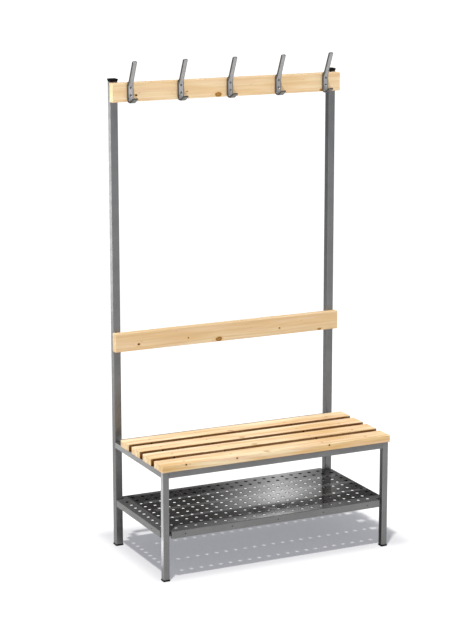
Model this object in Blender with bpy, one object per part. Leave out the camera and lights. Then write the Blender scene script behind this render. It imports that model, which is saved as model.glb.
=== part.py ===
"""Changing room bench: slatted seat, shoe shelf, back board and hook board on a square-tube frame.

Frame: X along the bench, -Y to the front, +Z up. The origin lies on the floor,
below the middle of the whole bench. Sizes below are in millimetres.
D is a distance forward from the rear face of the rear posts.
"""

import math

import bmesh
import bpy
from mathutils import Vector
from mathutils.geometry import delaunay_2d_cdt

MM = 0.001
GAP = 0.3  # between pieces that touch

# Overall
BOARD_LENGTH = 1000.0
FRAME_WIDTH = 990.0  # over the outer faces of the posts
FRAME_DEPTH = 505.5  # rear face of rear posts to front face of front legs
HALF = FRAME_WIDTH / 2

# Tubes
POST = 30.0
LEG = 25.0
WALL = 1.5
POST_CORNER = 2.5
LEG_CORNER = 2.2
POST_TOP = 1885.0

# Seat
SEAT_TOP = 467.0
SLAT_THICK = 28.0
SLAT_WIDTH = 80.0
SLAT_GAP = 30.0
SLAT_COUNT = 4
FIRST_SLAT_D = 100.0
SEAT_UNDER = SEAT_TOP - SLAT_THICK

# Boards on the posts
RAIL_HEIGHT = 74.0
RAIL_THICK = 30.0
BACK_RAIL_Z = 815.0
HOOK_RAIL_Z = 1808.0
BOARD_EDGE = 2.0

# Feet and caps
FOOT_HEIGHT = 7.0
FOOT_LIP = 1.5
PLUG = 22.0
CAP_PLUG = 14.0
CAP_LIP = 2.0

# Shoe shelf
SHELF_TOP = 198.5
SKIRT = 29.0
RETURN = 14.0  # how far the skirt's foot is folded inwards
SHEET = 1.5
BEND = 2.5
NOTCH = 35.0
HOLE_COLUMNS = 23
HOLE_ROWS = 11
HOLE_PITCH = 42.5
HOLE_RADIUS = 7.15  # a hexagon as large as a round hole of 13 mm
HOLE_SIDES = 6
SKIRT_HOLE_RADIUS = 2.5
SKIRT_HOLE_PITCH_X = 201.0
SKIRT_HOLE_PITCH_Y = 140.0
SKIRT_HOLE_DROP = 14.5

# Hooks
HOOK_COUNT = 5
HOOK_PITCH = 214.0
HOOK_Z = 1804.0
HOOK_BODY = 12.0
HOOK_HALF = 12.0
HOOK_ARM_HALF = 10.0
HOOK_ARM = 108.0  # length of the upper arm's front
HOOK_SCREWS = (60.0, 31.0)  # heights above the bottom of the hook

# Fasteners
SHANK = 2.2
CLEAR = 0.4
PAN_HEAD = 4.8
PAN_HEIGHT = 2.6
ROUND = 8

# The rearmost faces are the screw heads behind the posts, the foremost is the front slat.
FRONT_D = FIRST_SLAT_D + SLAT_COUNT * SLAT_WIDTH + (SLAT_COUNT - 1) * SLAT_GAP
REAR_D = -(GAP + PAN_HEIGHT)
MID_D = (FRONT_D + REAR_D) / 2


def y_of(d):
    return MID_D - d


# ---------------------------------------------------------------- scene helpers


def clear_scene():
    for obj in list(bpy.data.objects):
        bpy.data.objects.remove(obj, do_unlink=True)


def material(name, colour, roughness, metallic):
    made = bpy.data.materials.new(name)
    made.use_nodes = True
    shader = made.node_tree.nodes["Principled BSDF"]
    shader.inputs["Base Color"].default_value = (*colour, 1.0)
    shader.inputs["Roughness"].default_value = roughness
    shader.inputs["Metallic"].default_value = metallic
    made.diffuse_color = (*colour, 1.0)
    return made


def put(name, bm, at, stuff, parent, smooth=None):
    """A named object from a bmesh in millimetres, at a place in millimetres."""
    bmesh.ops.recalc_face_normals(bm, faces=bm.faces)
    bmesh.ops.scale(bm, vec=(MM, MM, MM), verts=bm.verts)
    mesh = bpy.data.meshes.new(name)
    bm.to_mesh(mesh)
    bm.free()
    obj = bpy.data.objects.new(name, mesh)
    bpy.context.scene.collection.objects.link(obj)
    obj.parent = parent
    obj.location = Vector(at) * MM
    if stuff:
        mesh.materials.append(stuff)
    if smooth:
        mesh.shade_smooth()
        mesh.set_sharp_from_angle(angle=math.radians(smooth))
    return obj


def cut(obj, bm):
    """Cuts a bmesh, given in the object's own millimetres, out of the object."""
    tool = put(obj.name + ".cutter", bm, (0, 0, 0), None, obj)
    tool.hide_render = True
    tool.display_type = "WIRE"
    step = obj.modifiers.new("holes", "BOOLEAN")
    step.operation = "DIFFERENCE"
    step.solver = "EXACT"
    step.object = tool


# ---------------------------------------------------------------- shape helpers


def along(axis, p, q, a):
    """A point from two cross-section coordinates and one along the axis."""
    return {"X": (a, p, q), "Y": (p, a, q), "Z": (p, q, a)}[axis]


def chamfered(width, height, corner):
    x, y, c = width / 2, height / 2, corner
    return [
        (-x + c, -y),
        (x - c, -y),
        (x, -y + c),
        (x, y - c),
        (x - c, y),
        (-x + c, y),
        (-x, y - c),
        (-x, -y + c),
    ]


def rounded(width, height, radius, steps):
    points = []
    for turn, (sx, sy) in enumerate(((1, 1), (-1, 1), (-1, -1), (1, -1))):
        for k in range(steps + 1):
            angle = math.pi / 2 * (turn + k / steps)
            points.append(
                (
                    sx * (width / 2 - radius) + radius * math.cos(angle),
                    sy * (height / 2 - radius) + radius * math.sin(angle),
                )
            )
    return points


def circle(radius, sides, centre=(0.0, 0.0)):
    return [
        (
            centre[0] + radius * math.cos(2 * math.pi * (k + 0.5) / sides),
            centre[1] + radius * math.sin(2 * math.pi * (k + 0.5) / sides),
        )
        for k in range(sides)
    ]


def loft(bm, rings, closed=False):
    """Skins rings of equally many points; open ends are capped, closed runs back to the first ring."""
    verts = [[bm.verts.new(point) for point in ring] for ring in rings]
    pairs = list(zip(verts, verts[1:]))
    if closed:
        pairs.append((verts[-1], verts[0]))
    count = len(rings[0])
    for low, high in pairs:
        for k in range(count):
            n = (k + 1) % count
            bm.faces.new((low[k], low[n], high[n], high[k]))
    if not closed:
        bm.faces.new(verts[0])
        bm.faces.new(verts[-1])
    return bm


def turned(bm, axis, steps, centre=(0.0, 0.0), sides=ROUND):
    """A turned solid from (place along the axis, radius) steps."""
    return loft(
        bm,
        [
            [along(axis, p, q, a) for p, q in circle(radius, sides, centre)]
            for a, radius in steps
        ],
    )


def square_tube(axis, size, corner, start, end):
    outer = rounded(size, size, corner, 2)
    inner = rounded(size - 2 * WALL, size - 2 * WALL, corner - 1.2, 2)
    rings = [
        [along(axis, p, q, a) for p, q in profile]
        for profile, a in (
            (outer, start),
            (outer, end),
            (inner, end),
            (inner, start),
        )
    ]
    return loft(bmesh.new(), rings, closed=True)


def board(depth, height):
    """A planed board along X with eased edges, centred on the origin."""
    end = BOARD_LENGTH / 2
    e = BOARD_EDGE
    rings = []
    for x, inset in ((-end, e), (-end + e, 0), (end - e, 0), (end, e)):
        profile = chamfered(depth - 2 * inset, height - 2 * inset, e / (2 if inset else 1))
        rings.append([(x, p, q) for p, q in profile])
    return loft(bmesh.new(), rings)


def plug(steps, corner):
    """A moulded square insert from (height, width) steps."""
    rings = [
        [(p, q, z) for p, q in chamfered(width, width, corner)] for z, width in steps
    ]
    return loft(bmesh.new(), rings)


# ---------------------------------------------------------------- pieces


def make_frame(parent, steel):
    made = {}
    post_z0 = FOOT_HEIGHT + GAP
    leg_z1 = SEAT_UNDER - GAP
    rail_z = SEAT_UNDER - GAP - LEG / 2
    bolt_z = SHELF_TOP - SKIRT_HOLE_DROP
    for side, s in (("left", -1), ("right", 1)):
        x = s * (HALF - POST / 2)
        post = put(
            f"rear_post_{side}",
            square_tube("Z", POST, POST_CORNER, post_z0, POST_TOP),
            (x, y_of(POST / 2), 0),
            steel,
            parent,
            40,
        )
        holes = bmesh.new()
        for base in (BACK_RAIL_Z, HOOK_RAIL_Z):
            for z in rail_screw_heights(base):
                turned(holes, "Y", [(-POST, SHANK + CLEAR), (POST, SHANK + CLEAR)], (0, z))
        turned(holes, "Y", [(-POST, 2.5 + CLEAR), (0, 2.5 + CLEAR)], (0, bolt_z))
        cut(post, holes)

        x = s * (HALF - LEG / 2)
        leg = put(
            f"front_leg_{side}",
            square_tube("Z", LEG, LEG_CORNER, post_z0, leg_z1),
            (x, y_of(FRAME_DEPTH - LEG / 2), 0),
            steel,
            parent,
            40,
        )
        hole = turned(bmesh.new(), "Y", [(0, 2.5 + CLEAR), (LEG, 2.5 + CLEAR)], (0, bolt_z))
        cut(leg, hole)

        length = FRAME_DEPTH - POST - LEG - 2 * GAP
        mid = (POST + FRAME_DEPTH - LEG) / 2
        rail = put(
            f"seat_rail_{side}",
            square_tube("Y", LEG, LEG_CORNER, -length / 2, length / 2),
            (x, y_of(mid), rail_z),
            steel,
            parent,
            40,
        )
        holes = bmesh.new()
        for d in slat_screw_places():
            turned(
                holes,
                "Z",
                [(-LEG, SHANK + CLEAR), (LEG, SHANK + CLEAR)],
                (0, y_of(d) - y_of(mid)),
            )
        cut(rail, holes)

    length = FRAME_WIDTH - 2 * LEG - 2 * GAP
    made["front"] = put(
        "seat_rail_front",
        square_tube("X", LEG, LEG_CORNER, -length / 2, length / 2),
        (0, y_of(FRAME_DEPTH - LEG / 2), rail_z),
        steel,
        parent,
        40,
    )
    length = FRAME_WIDTH - 2 * POST - 2 * GAP
    made["rear"] = put(
        "seat_rail_rear",
        square_tube("X", LEG, LEG_CORNER, -length / 2, length / 2),
        (0, y_of(POST / 2), rail_z),
        steel,
        parent,
        40,
    )
    return made


def make_feet_and_caps(parent, plastic):
    for row, size, d in (("rear", POST, POST / 2), ("front", LEG, FRAME_DEPTH - LEG / 2)):
        inside = size - 2 * WALL - 0.8
        over = size + 2 * FOOT_LIP
        for side, s in (("left", -1), ("right", 1)):
            put(
                f"foot_{row}_{side}",
                plug(
                    (
                        (0, over - 2),
                        (1, over),
                        (FOOT_HEIGHT - 1.5, over),
                        (FOOT_HEIGHT, over - 1.6),
                        (FOOT_HEIGHT, inside),
                        (FOOT_HEIGHT + PLUG - 3, inside),
                        (FOOT_HEIGHT + PLUG, inside - 4),
                    ),
                    1.8,
                ),
                (s * (HALF - size / 2), y_of(d), 0),
                plastic,
                parent,
            )
    inside = POST - 2 * WALL - 0.8
    over = POST + 2 * CAP_LIP
    for side, s in (("left", -1), ("right", 1)):
        put(
            f"post_cap_{side}",
            plug(
                (
                    (-CAP_PLUG, inside - 4),
                    (-CAP_PLUG + 3, inside),
                    (GAP, inside),
                    (5.0, over - 1),
                    (6.0, over),
                    (10.0, over),
                    (12.0, over - 5),
                ),
                1.8,
            ),
            (s * (HALF - POST / 2), y_of(POST / 2), POST_TOP),
            plastic,
            parent,
        )


def rail_screw_heights(base):
    return base + RAIL_HEIGHT * 0.25, base + RAIL_HEIGHT * 0.75


def slat_places():
    return [
        FIRST_SLAT_D + SLAT_WIDTH / 2 + k * (SLAT_WIDTH + SLAT_GAP)
        for k in range(SLAT_COUNT)
    ]


def slat_screw_places():
    # The front slat lies partly over the leg, so its screw sits behind the middle.
    limit = FRAME_DEPTH - LEG - 22
    return [min(d, limit) for d in slat_places()]


def hook_places():
    return [(k - (HOOK_COUNT - 1) / 2) * HOOK_PITCH for k in range(HOOK_COUNT)]


def make_boards(parent, wood):
    depth = 22.0
    for name, base in (("back_rail", BACK_RAIL_Z), ("hook_rail", HOOK_RAIL_Z)):
        mid_d = POST + GAP + RAIL_THICK / 2
        mid_z = base + RAIL_HEIGHT / 2
        rail = put(name, board(RAIL_THICK, RAIL_HEIGHT), (0, y_of(mid_d), mid_z), wood, parent)
        holes = bmesh.new()
        for s in (-1, 1):
            for z in rail_screw_heights(base):
                turned(
                    holes,
                    "Y",
                    [(RAIL_THICK / 2 - depth, SHANK + CLEAR), (RAIL_THICK, SHANK + CLEAR)],
                    (s * (HALF - POST / 2), z - mid_z),
                )
        if name == "hook_rail":
            for x in hook_places():
                for z in HOOK_SCREWS:
                    turned(
                        holes,
                        "Y",
                        [(-RAIL_THICK, SHANK + CLEAR), (-RAIL_THICK / 2 + depth, SHANK + CLEAR)],
                        (x, HOOK_Z + z - mid_z),
                    )
        cut(rail, holes)

    for k, (d, screw_d) in enumerate(zip(slat_places(), slat_screw_places())):
        slat = put(
            f"seat_slat_{k + 1}",
            board(SLAT_WIDTH, SLAT_THICK),
            (0, y_of(d), SEAT_TOP - SLAT_THICK / 2),
            wood,
            parent,
        )
        holes = bmesh.new()
        for s in (-1, 1):
            turned(
                holes,
                "Z",
                [(-SLAT_THICK, SHANK + CLEAR), (-SLAT_THICK / 2 + depth - 2, SHANK + CLEAR)],
                (s * (HALF - LEG / 2), d - screw_d),
            )
        cut(slat, holes)


def shelf_outline(inset):
    """The shelf's plan: a rectangle with a square notch at each corner, each edge moved inwards by inset."""
    x, y, n = HALF - inset, FRAME_DEPTH / 2 - inset, NOTCH
    a, b = HALF - n - inset, FRAME_DEPTH / 2 - n - inset
    return [
        (-a, -y),
        (a, -y),
        (a, -b),
        (x, -b),
        (x, b),
        (a, b),
        (a, y),
        (-a, y),
        (-a, b),
        (-x, b),
        (-x, -b),
        (-a, -b),
    ]


def shelf_holes():
    """Centres of the perforation: a square grid without the places next to the legs."""
    places = []
    for r in range(HOLE_ROWS):
        for c in range(HOLE_COLUMNS):
            if r in (0, HOLE_ROWS - 1) and c in (0, HOLE_COLUMNS - 1):
                continue
            places.append(
                (
                    (c - (HOLE_COLUMNS - 1) / 2) * HOLE_PITCH,
                    (r - (HOLE_ROWS - 1) / 2) * HOLE_PITCH,
                )
            )
    return places


def make_shelf(parent, steel):
    """One folded sheet: a perforated top with a skirt round its whole outline, its foot folded inwards."""
    low, top, under = -SKIRT, 0.0, -SHEET
    rounding = BEND * (1 - math.sqrt(0.5))
    outer = [(low, 0.0), (-BEND, 0.0), (-rounding, rounding), (top, BEND)]
    inner = [
        (low, RETURN),
        (low + SHEET, RETURN),
        (low + SHEET, SHEET),
        (-BEND - 0.6, SHEET),
        (under, SHEET + BEND - 1.0),
    ]
    bm = bmesh.new()

    def skin(levels):
        rings = [
            [bm.verts.new((x, y, z)) for x, y in shelf_outline(inset)] for z, inset in levels
        ]
        for one, two in zip(rings, rings[1:]):
            for k in range(len(one)):
                n = (k + 1) % len(one)
                bm.faces.new((one[k], one[n], two[n], two[k]))
        return rings[0], rings[-1]

    outer_foot, outer_top = skin(outer)
    inner_foot, inner_top = skin(inner)
    for k in range(len(outer_foot)):
        n = (k + 1) % len(outer_foot)
        bm.faces.new((outer_foot[k], outer_foot[n], inner_foot[n], inner_foot[k]))

    centres = shelf_holes()
    plan = list(shelf_outline(BEND))
    loops = [list(range(len(plan)))]
    for centre in centres:
        start = len(plan)
        plan += circle(HOLE_RADIUS, HOLE_SIDES, centre)
        loops.append(list(range(start, len(plan))))
    edges = [(loop[k], loop[(k + 1) % len(loop)]) for loop in loops for k in range(len(loop))]
    points, _, faces, _, _, _ = delaunay_2d_cdt(
        [Vector(p) for p in plan], edges, [], 1, 1e-6
    )
    assert len(points) == len(plan)

    def in_hole(face):
        mid = sum((points[i] for i in face), Vector((0.0, 0.0))) / len(face)
        c = round(mid.x / HOLE_PITCH + (HOLE_COLUMNS - 1) / 2)
        r = round(mid.y / HOLE_PITCH + (HOLE_ROWS - 1) / 2)
        near = Vector(
            ((c - (HOLE_COLUMNS - 1) / 2) * HOLE_PITCH, (r - (HOLE_ROWS - 1) / 2) * HOLE_PITCH)
        )
        return len({i for i in face} & outline) == 0 and (mid - near).length < HOLE_RADIUS * 0.8

    outline = set(loops[0])
    upper = list(outer_top)
    lower = list(inner_top)
    for p in plan[len(upper):]:
        upper.append(bm.verts.new((*p, top)))
        lower.append(bm.verts.new((*p, under)))
    for face in faces:
        if in_hole(face):
            continue
        bm.faces.new([upper[i] for i in face])
        bm.faces.new([lower[i] for i in reversed(face)])
    for loop in loops[1:]:
        for k in range(len(loop)):
            i, j = loop[k], loop[(k + 1) % len(loop)]
            bm.faces.new((upper[i], upper[j], lower[j], lower[i]))

    shelf = put("shoe_shelf", bm, (0, y_of(FRAME_DEPTH / 2), SHELF_TOP), steel, parent)

    holes = bmesh.new()
    edge = FRAME_DEPTH / 2
    for s in (-1, 1):
        for k in (-2, -1, 0, 1, 2):
            turned(
                holes,
                "Y",
                [(s * edge - 4, SKIRT_HOLE_RADIUS), (s * edge + 4, SKIRT_HOLE_RADIUS)],
                (k * SKIRT_HOLE_PITCH_X, -SKIRT_HOLE_DROP),
            )
        for k in (-1, 0, 1):
            turned(
                holes,
                "X",
                [(s * HALF - 4, SKIRT_HOLE_RADIUS), (s * HALF + 4, SKIRT_HOLE_RADIUS)],
                (k * SKIRT_HOLE_PITCH_Y, -SKIRT_HOLE_DROP),
            )
        for size, way in ((POST, 1), (LEG, -1)):
            y = way * (edge - NOTCH)
            turned(
                holes,
                "Y",
                [(y - 4, 4.0 + CLEAR), (y + 4, 4.0 + CLEAR)],
                (s * (HALF - size / 2), -SKIRT_HOLE_DROP),
            )
    cut(shelf, holes)


def hook_stations():
    """The hook from its upper tip to its lower tip: inner point, outer point (forward, height) and half width.

    The inner side is the front of the plate and the top of the lower lip; the outer side is the back of
    the plate and the underside of the lip.
    """
    front = HOOK_BODY + GAP
    lean = math.radians(25.2)
    way = Vector((math.sin(lean), math.cos(lean)))
    out = Vector((way.y, -way.x))
    start = Vector((front + 0.7, 65.5))

    def arm(s, thick, half, depth=8.6):
        middle = start + way * s - out * depth / 2
        return middle + out * thick / 2, middle - out * thick / 2, half

    stations = [
        arm(HOOK_ARM, 3.8, HOOK_ARM_HALF - 3.5),
        arm(HOOK_ARM - 2.0, 6.8, HOOK_ARM_HALF - 0.8),
        arm(HOOK_ARM - 6.5, 8.4, HOOK_ARM_HALF),
        arm(22.0, 8.8, HOOK_ARM_HALF + 0.2),
        # the back of the plate reaches higher than its front, as a sloping shoulder
        (start + way * 8.0, Vector((3.5, 80.0)), HOOK_HALF - 0.7),
        (Vector((front + 0.2, 64.0)), Vector((GAP, 74.0)), HOOK_HALF),
        (Vector((front, 20.0)), Vector((GAP, 18.0)), HOOK_HALF),
    ]
    # The lower bend turns a quarter; the strip thins as it goes.
    turns = 3
    for k in range(1, turns + 1):
        a = math.pi / 2 * k / turns
        inner = Vector((front + 8.4 * (1 - math.cos(a)), 20.0 - 12.4 * math.sin(a)))
        outer = Vector((GAP + 14.0 * (1 - math.cos(a)), 18.0 - 17.2 * math.sin(a)))
        stations.append((inner, outer, HOOK_HALF - 0.3 * k))
    # The lip leans forward and up from the foot of the bend.
    foot = Vector((30.0, 4.2))
    end = Vector((59.0, 21.3))
    lip = (end - foot).normalized()
    up = Vector((-lip.y, lip.x))
    stations.append((Vector((28.6, 7.4)), Vector((31.4, 0.8)), 11.0))
    for back, thick, half in ((6.0, 6.0, 10.6), (2.0, 5.2, 9.8), (0.0, 3.0, 7.6)):
        middle = end - lip * back
        stations.append((middle + up * thick / 2, middle - up * thick / 2, half))
    return stations


def hook_solid():
    rings = []
    for inner, outer, half in hook_stations():
        thick = (inner - outer).length
        side = (inner - outer) / thick
        middle = (inner + outer) / 2
        corner = min(2.4, thick * 0.3)
        rings.append(
            [
                (p, -(middle.x + side.x * q), middle.y + side.y * q)
                for p, q in chamfered(2 * half, thick, corner)
            ]
        )
    return loft(bmesh.new(), rings)


def make_hooks(parent, metal, zinc):
    face = y_of(POST + GAP + RAIL_THICK)
    front = HOOK_BODY + GAP
    for k, x in enumerate(hook_places()):
        hook = put(f"coat_hook_{k + 1}", hook_solid(), (x, face, HOOK_Z), metal, parent, 50)
        holes = bmesh.new()
        for z in HOOK_SCREWS:
            turned(
                holes,
                "Y",
                [
                    (-front - 2.0, 6.6),
                    (-front, 4.6),
                    (-front + 2.4, SHANK + CLEAR),
                    (2.0, SHANK + CLEAR),
                ],
                (0, z),
            )
        cut(hook, holes)
        for label, z in zip(("upper", "lower"), HOOK_SCREWS):
            put(
                f"hook_screw_{k + 1}_{label}",
                turned(
                    bmesh.new(),
                    "Y",
                    [(-front + 0.3, 4.0), (-front + 2.4, SHANK), (17.0, SHANK), (20.5, 0.6)],
                ),
                (x, face, HOOK_Z + z),
                zinc,
                parent,
            )


def make_fasteners(parent, zinc):
    for row, base in (("back", BACK_RAIL_Z), ("hook", HOOK_RAIL_Z)):
        for side, s in (("left", -1), ("right", 1)):
            for label, z in zip(("lower", "upper"), rail_screw_heights(base)):
                put(
                    f"{row}_rail_screw_{side}_{label}",
                    turned(
                        bmesh.new(),
                        "Y",
                        [
                            (GAP + PAN_HEIGHT, PAN_HEAD - 2.0),
                            (GAP + PAN_HEIGHT * 0.4, PAN_HEAD),
                            (GAP, PAN_HEAD),
                            (GAP, SHANK),
                            (-POST - 17.0, SHANK),
                            (-POST - 20.5, 0.6),
                        ],
                    ),
                    (s * (HALF - POST / 2), y_of(0), z),
                    zinc,
                    parent,
                )
    under = SEAT_UNDER - GAP - LEG - GAP
    for side, s in (("left", -1), ("right", 1)):
        for k, d in enumerate(slat_screw_places()):
            put(
                f"slat_screw_{side}_{k + 1}",
                turned(
                    bmesh.new(),
                    "Z",
                    [
                        (-PAN_HEIGHT, PAN_HEAD - 2.0),
                        (-PAN_HEIGHT * 0.4, PAN_HEAD),
                        (0.0, PAN_HEAD),
                        (0.0, SHANK),
                        (LEG + 15.0, SHANK),
                        (LEG + 18.5, 0.6),
                    ],
                ),
                (s * (HALF - LEG / 2), y_of(d), under),
                zinc,
                parent,
            )
    # The shelf hangs on shoulder bolts: thread in the leg, shoulder across the gap, head inside the skirt.
    for row, size, face, way in (
        ("rear", POST, POST, -1),
        ("front", LEG, FRAME_DEPTH - LEG, 1),
    ):
        gap = NOTCH - size
        shoulder = gap + SHEET + GAP
        for side, s in (("left", -1), ("right", 1)):
            put(
                f"shelf_bolt_{row}_{side}",
                turned(
                    bmesh.new(),
                    "Y",
                    [
                        (-way * 12.0, 2.2),
                        (-way * 11.0, 2.5),
                        (way * GAP, 2.5),
                        (way * GAP, 4.0),
                        (way * shoulder, 4.0),
                        (way * shoulder, 6.5),
                        (way * (shoulder + 3.6), 6.5),
                    ],
                ),
                (s * (HALF - size / 2), y_of(face), SHELF_TOP - SKIRT_HOLE_DROP),
                zinc,
                parent,
            )


def main():
    clear_scene()
    bench = bpy.data.objects.new("bench", None)
    bpy.context.scene.collection.objects.link(bench)

    wood = material("spruce", (0.78, 0.58, 0.34), 0.45, 0.0)
    steel = material("grey_powder_coat", (0.36, 0.36, 0.37), 0.38, 0.6)
    plastic = material("black_plastic", (0.012, 0.012, 0.012), 0.5, 0.0)
    metal = material("hook_metal", (0.5, 0.5, 0.5), 0.35, 0.9)
    zinc = material("zinc_plate", (0.55, 0.55, 0.56), 0.35, 1.0)

    make_frame(bench, steel)
    make_feet_and_caps(bench, plastic)
    make_boards(bench, wood)
    make_shelf(bench, steel)
    make_hooks(bench, metal, zinc)
    make_fasteners(bench, zinc)


main()
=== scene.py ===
"""Looks of the changing room bench: boards, tubes, shelf, hooks, mouldings and fasteners in their finishes.

Frame: X along the bench, -Y to the front, +Z up, origin on the floor. Shapes are drawn in millimetres
and set down in metres, each where its own node lies.
"""

import math

import bmesh
import bpy
from mathutils import Matrix, Vector
from mathutils.geometry import delaunay_2d_cdt


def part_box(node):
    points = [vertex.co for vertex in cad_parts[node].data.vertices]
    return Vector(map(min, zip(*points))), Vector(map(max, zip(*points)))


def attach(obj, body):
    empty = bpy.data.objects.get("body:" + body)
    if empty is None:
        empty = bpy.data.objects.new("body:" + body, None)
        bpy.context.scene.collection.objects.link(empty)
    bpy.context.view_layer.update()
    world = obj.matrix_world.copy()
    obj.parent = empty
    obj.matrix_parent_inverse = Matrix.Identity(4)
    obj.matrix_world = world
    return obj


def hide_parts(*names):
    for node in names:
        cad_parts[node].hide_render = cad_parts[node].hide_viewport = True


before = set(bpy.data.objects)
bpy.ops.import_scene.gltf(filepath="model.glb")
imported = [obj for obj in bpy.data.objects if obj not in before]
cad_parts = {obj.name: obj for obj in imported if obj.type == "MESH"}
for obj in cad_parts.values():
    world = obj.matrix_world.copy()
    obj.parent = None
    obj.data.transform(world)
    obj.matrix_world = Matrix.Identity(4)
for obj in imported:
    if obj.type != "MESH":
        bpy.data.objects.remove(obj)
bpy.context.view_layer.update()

MM = 0.001

# ---------------------------------------------------------------- finishes


class Finish:
    """A material built from nodes round one Principled shader."""

    def __init__(self, name):
        self.mat = bpy.data.materials.new(name)
        self.mat.use_nodes = True
        self.tree = self.mat.node_tree
        self.tree.nodes.clear()
        self.shader = self.tree.nodes.new("ShaderNodeBsdfPrincipled")
        out = self.tree.nodes.new("ShaderNodeOutputMaterial")
        self.tree.links.new(self.shader.outputs[0], out.inputs["Surface"])

    def feed(self, socket, value):
        if isinstance(value, bpy.types.NodeSocket):
            self.tree.links.new(value, socket)
        else:
            socket.default_value = value

    def node(self, kind, inputs=None, **settings):
        made = self.tree.nodes.new("ShaderNode" + kind)
        for key, value in settings.items():
            setattr(made, key, value)
        for key, value in (inputs or {}).items():
            self.feed(made.inputs[key], value)
        return made

    def set(self, **values):
        for key, value in values.items():
            self.feed(self.shader.inputs[key.replace("_", " ")], value)

    def math(self, op, a, b=0.0, clamp=False):
        return self.node("Math", {0: a, 1: b}, operation=op, use_clamp=clamp).outputs[0]

    def vector(self, op, a, b=(0.0, 0.0, 0.0)):
        made = self.node("VectorMath", {0: a, 1: b}, operation=op)
        return made.outputs["Value" if op in ("LENGTH", "DOT_PRODUCT") else "Vector"]

    def noise(self, where, scale, detail=2.0, rough=0.5):
        return self.node(
            "TexNoise", {"Vector": where, "Scale": scale, "Detail": detail, "Roughness": rough}
        ).outputs[0]

    def span(self, value, low, high, to_low=0.0, to_high=1.0, kind="SMOOTHSTEP"):
        return self.node(
            "MapRange",
            {"Value": value, "From Min": low, "From Max": high, "To Min": to_low, "To Max": to_high},
            interpolation_type=kind,
        ).outputs[0]

    def mix(self, factor, a, b, blend="MIX"):
        made = self.node("Mix", data_type="RGBA", blend_type=blend)
        for index, value in ((0, factor), (6, a), (7, b)):
            self.feed(made.inputs[index], value)
        return made.outputs[2]

    def ramp(self, factor, stops):
        made = self.node("ValToRGB", {"Fac": factor})
        ramp = made.color_ramp
        while len(ramp.elements) < len(stops):
            ramp.elements.new(1.0)
        for element, (place, colour) in zip(ramp.elements, stops):
            element.position = place
            element.color = colour if len(colour) == 4 else (*colour, 1.0)
        return made.outputs[0]

    def bump(self, height, strength, distance):
        made = self.node("Bump", {"Height": height, "Strength": strength, "Distance": distance})
        self.feed(self.shader.inputs["Normal"], made.outputs[0])

    def place(self):
        return self.node("TexCoord").outputs["Object"]

    def edge(self):
        return self.node("Attribute", attribute_name="edge").outputs["Fac"]


# Knots of the boards: which side they come out on, place along and across the board, half length and half
# height, all in millimetres. Board axes: x along, y across, z out of the show face; the front edge is at -y.
RAIL_DARK = (
    ("face", -400.0, -12.4, 4.6, 4.1),
    ("face", -183.0, -8.0, 3.0, 2.7),
    ("face", 229.0, -9.0, 3.4, 3.0),
    ("back", -396.0, -4.0, 3.2, 3.0),
    ("back", 233.0, -15.0, 2.6, 2.4),
    ("far", 61.0, 3.0, 2.6, 2.4),
)
RAIL_BROWN = (
    ("face", -47.0, -26.6, 14.0, 9.0),
    ("face", 415.0, -31.0, 8.0, 4.2),
    ("back", -41.0, -17.0, 13.0, 9.5),
    ("back", 120.0, 19.0, 9.0, 6.0),
    ("edge", -46.0, 2.0, 11.0, 6.0),
)
RAIL_FLECKS = (
    ("face", -386.0, -4.0, 5.0, 3.6),
    ("face", -421.0, -14.0, 3.4, 2.4),
    ("face", -75.0, -27.0, 3.0, 3.4),
    ("face", -236.0, 24.0, 7.0, 1.6),
    ("face", 96.0, 6.0, 9.0, 1.5),
    ("face", 330.0, 14.0, 7.0, 1.5),
)
SLAT_DARK = (
    ("edge", -400.0, 8.2, 4.3, 3.5),
    ("edge", -183.0, 6.4, 3.6, 3.0),
    ("edge", 223.0, 7.2, 4.0, 3.3),
    ("far", -352.0, -2.0, 3.0, 2.6),
    ("far", 118.0, 3.0, 2.6, 2.4),
    ("back", -398.0, 12.0, 3.4, 3.0),
    ("back", 226.0, -18.0, 2.8, 2.6),
)
SLAT_BROWN = (
    ("back", -44.0, 11.0, 13.0, 9.0),
    ("far", 296.0, 1.0, 9.0, 5.0),
)
SLAT_FLECKS = (
    ("face", -395.0, -8.0, 6.5, 7.0),
    ("face", -47.0, -27.0, 17.0, 12.0),
    ("face", 206.0, -10.0, 6.5, 6.5),
    ("face", -190.0, 3.0, 5.0, 5.0),
    ("face", 402.0, -12.0, 7.0, 6.5),
    ("edge", -384.0, 9.0, 4.0, 2.0),
)


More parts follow.
